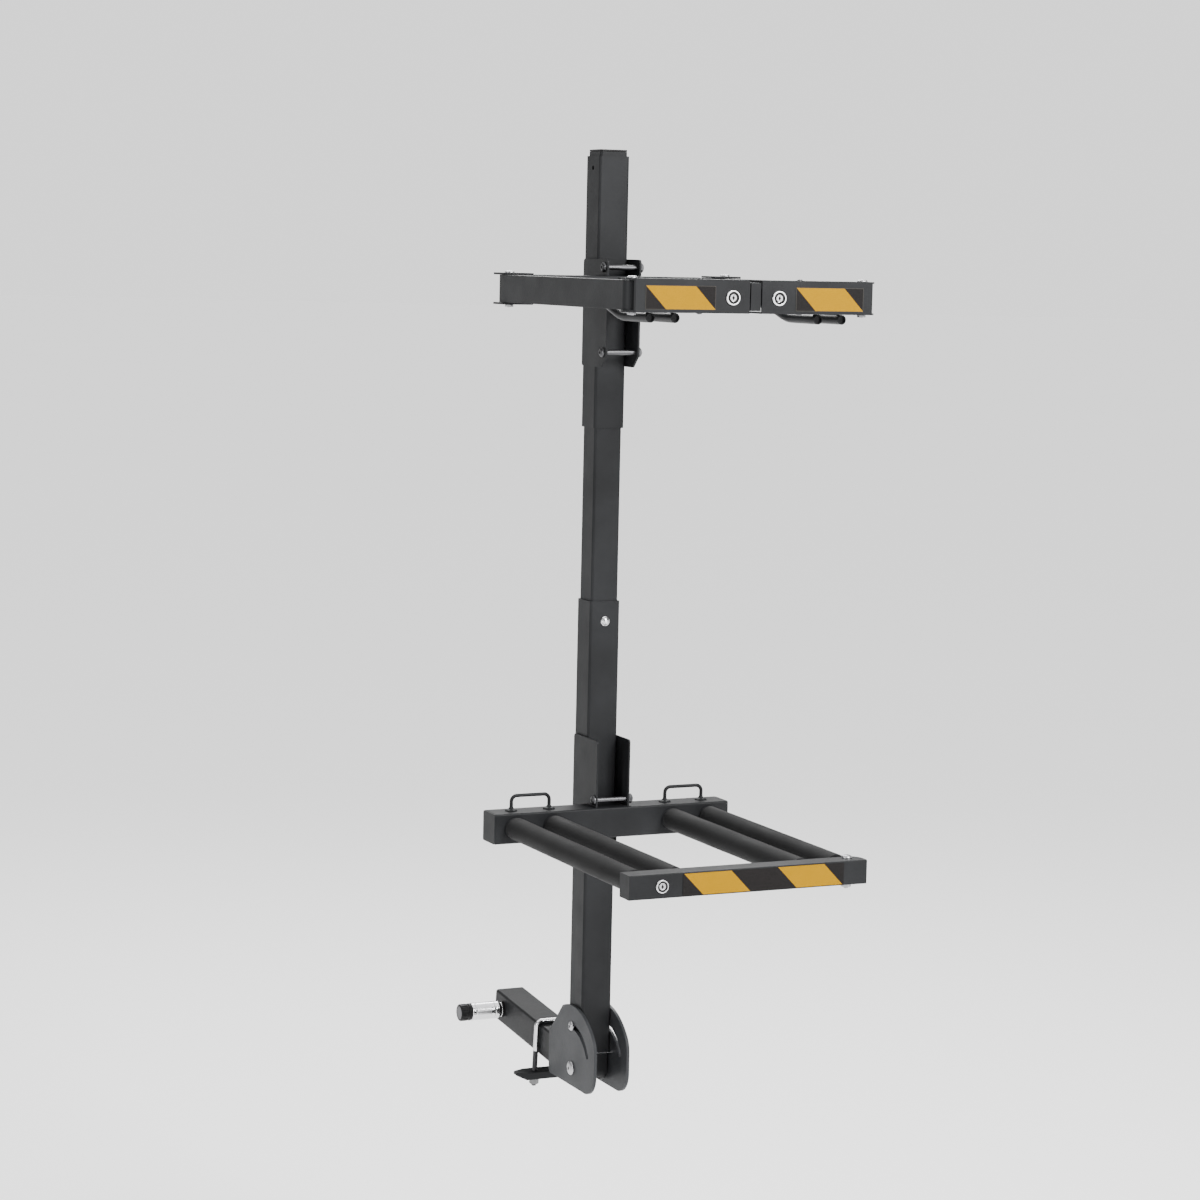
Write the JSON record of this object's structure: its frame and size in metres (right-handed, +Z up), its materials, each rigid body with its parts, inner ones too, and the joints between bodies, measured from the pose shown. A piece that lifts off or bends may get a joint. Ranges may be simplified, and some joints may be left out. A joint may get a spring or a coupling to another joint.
{
  "type": "hitch-mounted ski rack",
  "caption": "Square shank for a vehicle hitch with a tilting telescopic mast, a padded lower ski carrier closed by a locking gate, and an upper holder with swing arms and locking bars.",
  "frame": {"origin": "middle of the hitch pin, on the axis of the shank", "axes": "+Z up along the mast, +Y forward towards the vehicle, +X to the right seen from behind the vehicle; the shank rises 5 degrees towards the vehicle"},
  "size_m": [0.396, 0.8598, 1.4969],
  "materials": {
    "powder_black": "satin textured powder coat",
    "plate_grey": "satin dark grey powder coat",
    "foam_black": "matt closed-cell foam skin",
    "plastic_black": "moulded, fine grain",
    "rubber_black": "moulded seal",
    "chrome": "bright plated",
    "zinc_steel": "zinc plated",
    "black_steel": "black semi-gloss",
    "tape_yellow": "yellow and black diagonal hazard stripes"
  },
  "bodies": {
    "shank": {"shank_tube": "powder_black", "tilt_plate_left": "plate_grey", "tilt_plate_right": "plate_grey", "pivot_bolt": "zinc_steel", "hitch_pin": "zinc_steel", "pin_collar": "rubber_black", "u_bolt": "chrome", "clamp_plate": "powder_black"},
    "pin_lock": {"pin_lock_barrel": "chrome"},
    "pin_key": {"pin_key_cylinder": "zinc_steel"},
    "dust_cap": {"pin_dust_cap": "plastic_black"},
    "mast": {"mast_lower_tube": "powder_black", "mast_foot": "powder_black", "tilt_clamp_bolt": "zinc_steel", "mast_set_screw": "chrome", "lower_bracket": "powder_black", "lower_beam": "powder_black", "carry_handle_left": "powder_black", "carry_handle_right": "powder_black", "bar_rod_1": "black_steel", "bar_rod_2": "black_steel", "bar_rod_3": "black_steel", "bar_rod_4": "black_steel", "foam_sleeve_1": "foam_black", "foam_sleeve_2": "foam_black", "foam_sleeve_3": "foam_black", "foam_sleeve_4": "foam_black", "gate_hinge_lug": "powder_black", "gate_striker": "black_steel", "gate_hinge_bolt": "zinc_steel"},
    "gate": {"gate_channel": "powder_black", "gate_tape": "tape_yellow", "gate_lock_housing": "chrome"},
    "gate_lock": {"gate_lock_cylinder": "zinc_steel"},
    "inner_mast": {"mast_inner_tube": "powder_black", "mast_top_cap": "plastic_black"},
    "holder": {"mast_sleeve": "powder_black", "sleeve_set_screw": "chrome", "upper_bracket": "powder_black", "upper_beam": "powder_black", "rear_hinge_pin_left": "zinc_steel", "rear_hinge_pin_right": "zinc_steel", "centre_arm": "powder_black", "centre_block": "powder_black", "divider_rod_1": "black_steel", "divider_rod_2": "black_steel", "divider_rod_3": "black_steel", "divider_rod_4": "black_steel"},
    "arm_left": {"side_arm_left": "powder_black", "front_hinge_pin_left": "zinc_steel"},
    "arm_right": {"side_arm_right": "powder_black", "front_hinge_pin_right": "zinc_steel"},
    "bar_left": {"upper_bar_left": "powder_black", "upper_tape_left": "tape_yellow", "upper_lock_housing_left": "chrome"},
    "bar_right": {"upper_bar_right": "powder_black", "upper_tape_right": "tape_yellow", "upper_lock_housing_right": "chrome"},
    "lock_left": {"upper_lock_cylinder_left": "zinc_steel"},
    "lock_right": {"upper_lock_cylinder_right": "zinc_steel"}
  },
  "joints": [
    {"name": "mast_tilt", "type": "hinge", "parent": "shank", "child": "mast", "pos_m": [0, -0.29388, -0.02571], "axis": [1, 0, 0], "range_deg": [0, 60]},
    {"name": "mast_height", "type": "slide", "parent": "mast", "child": "inner_mast", "axis": [0, 0, 1], "range_m": [-0.12, 0.1]},
    {"name": "holder_height", "type": "slide", "parent": "inner_mast", "child": "holder", "axis": [0, 0, 1], "range_m": [-0.13, 0]},
    {"name": "gate_swing", "type": "hinge", "parent": "mast", "child": "gate", "pos_m": [0.166, -0.80488, 0.37644], "axis": [0, 0, 1], "range_deg": [0, 90]},
    {"name": "gate_key", "type": "hinge", "parent": "gate", "child": "gate_lock", "pos_m": [-0.1378, -0.82588, 0.37629], "axis": [0, 1, 0], "range_deg": [0, 90]},
    {"name": "arm_swing_left", "type": "hinge", "parent": "holder", "child": "arm_left", "pos_m": [-0.18, -0.34218, 1.19329], "axis": [0, 0, -1], "range_deg": [0, 90]},
    {"name": "arm_swing_right", "type": "hinge", "parent": "holder", "child": "arm_right", "pos_m": [0.18, -0.34218, 1.19329], "axis": [0, 0, 1], "range_deg": [0, 90]},
    {"name": "bar_swing_left", "type": "hinge", "parent": "arm_left", "child": "bar_left", "pos_m": [-0.18, -0.77388, 1.19329], "axis": [0, 0, -1], "range_deg": [0, 90]},
    {"name": "bar_swing_right", "type": "hinge", "parent": "arm_right", "child": "bar_right", "pos_m": [0.18, -0.77388, 1.19329], "axis": [0, 0, 1], "range_deg": [0, 90]},
    {"name": "bar_key_left", "type": "hinge", "parent": "bar_left", "child": "lock_left", "pos_m": [-0.036, -0.79588, 1.19179], "axis": [0, -1, 0], "range_deg": [0, 90]},
    {"name": "bar_key_right", "type": "hinge", "parent": "bar_right", "child": "lock_right", "pos_m": [0.036, -0.79588, 1.19179], "axis": [0, 1, 0], "range_deg": [0, 90]},
    {"name": "pin_lock_slide", "type": "slide", "parent": "shank", "child": "pin_lock", "axis": [-1, 0, 0], "range_m": [0, 0.06]},
    {"name": "pin_key_turn", "type": "hinge", "parent": "pin_lock", "child": "pin_key", "pos_m": [0, 0, 0], "axis": [-1, 0, 0], "range_deg": [0, 90]},
    {"name": "dust_cap_slide", "type": "slide", "parent": "pin_lock", "child": "dust_cap", "axis": [-1, 0, 0], "range_m": [0, 0.02]}
  ]
}
